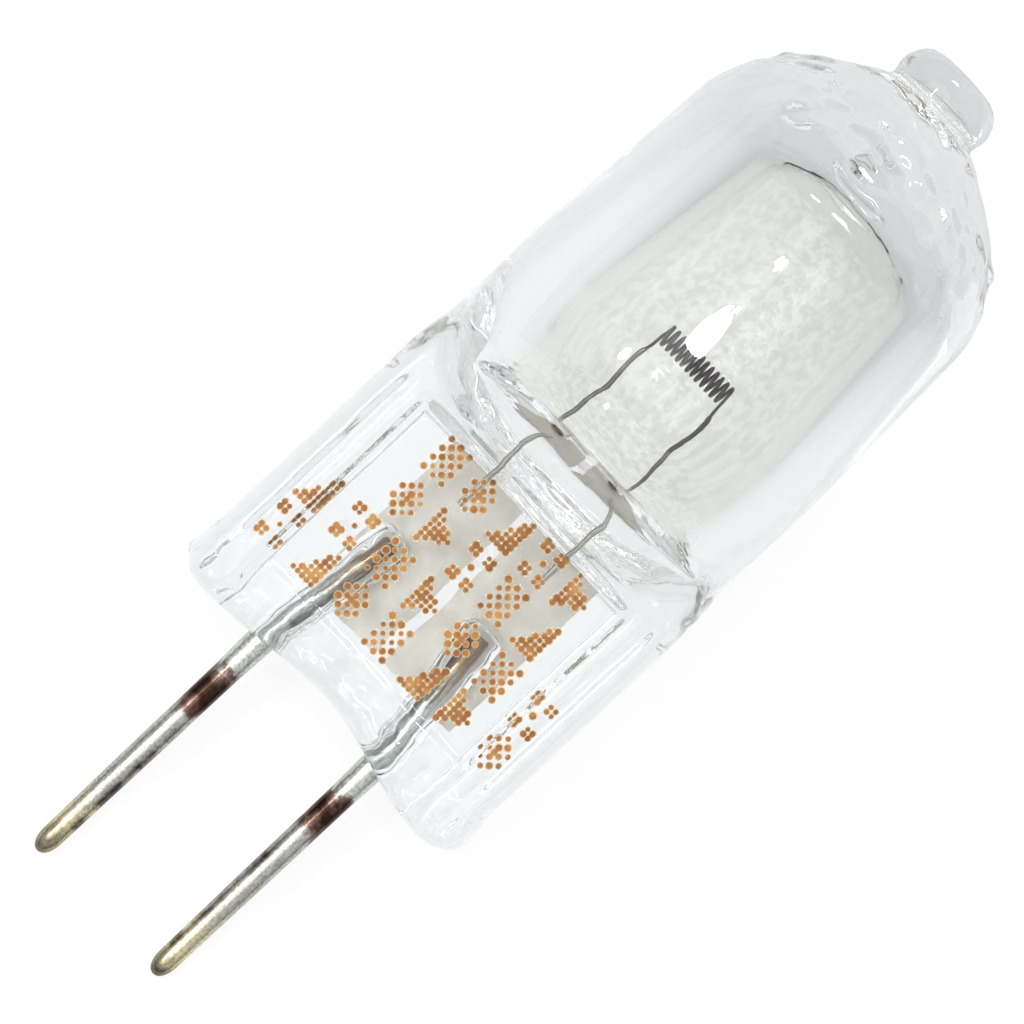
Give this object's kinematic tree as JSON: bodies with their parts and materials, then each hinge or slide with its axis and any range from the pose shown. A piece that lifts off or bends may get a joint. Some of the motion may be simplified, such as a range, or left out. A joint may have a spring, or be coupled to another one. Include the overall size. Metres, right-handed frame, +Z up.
{
  "type": "bi-pin bulb",
  "caption": "Clear quartz capsule bulb with a flat pinch, a sealed exhaust tip, a coiled filament and two straight contact pins for a plug-in lamp holder.",
  "frame": {"origin": "on the table that the bulb lies on, under the middle of its length", "axes": "+X along the table from the pins to the exhaust tip, +Z up, Y across the two pins. The bulb rests on its pin tips and the lower edge of its tube, printed face up, so its own axis leans 14.3 degrees, pins down."},
  "size_m": [0.0278, 0.0094, 0.0104],
  "materials": {
    "fused_quartz": "clear",
    "molybdenum_pin": "drawn",
    "molybdenum_foil": "matt",
    "lead_wire": "drawn",
    "tungsten": "drawn"
  },
  "bodies": {
    "root": {"quartz_envelope": "fused_quartz", "contact_pin_left": "molybdenum_pin", "contact_pin_right": "molybdenum_pin", "seal_foil_left": "molybdenum_foil", "seal_foil_right": "molybdenum_foil", "lead_wire_left": "lead_wire", "lead_wire_right": "lead_wire", "filament": "tungsten"}
  },
  "joints": []
}
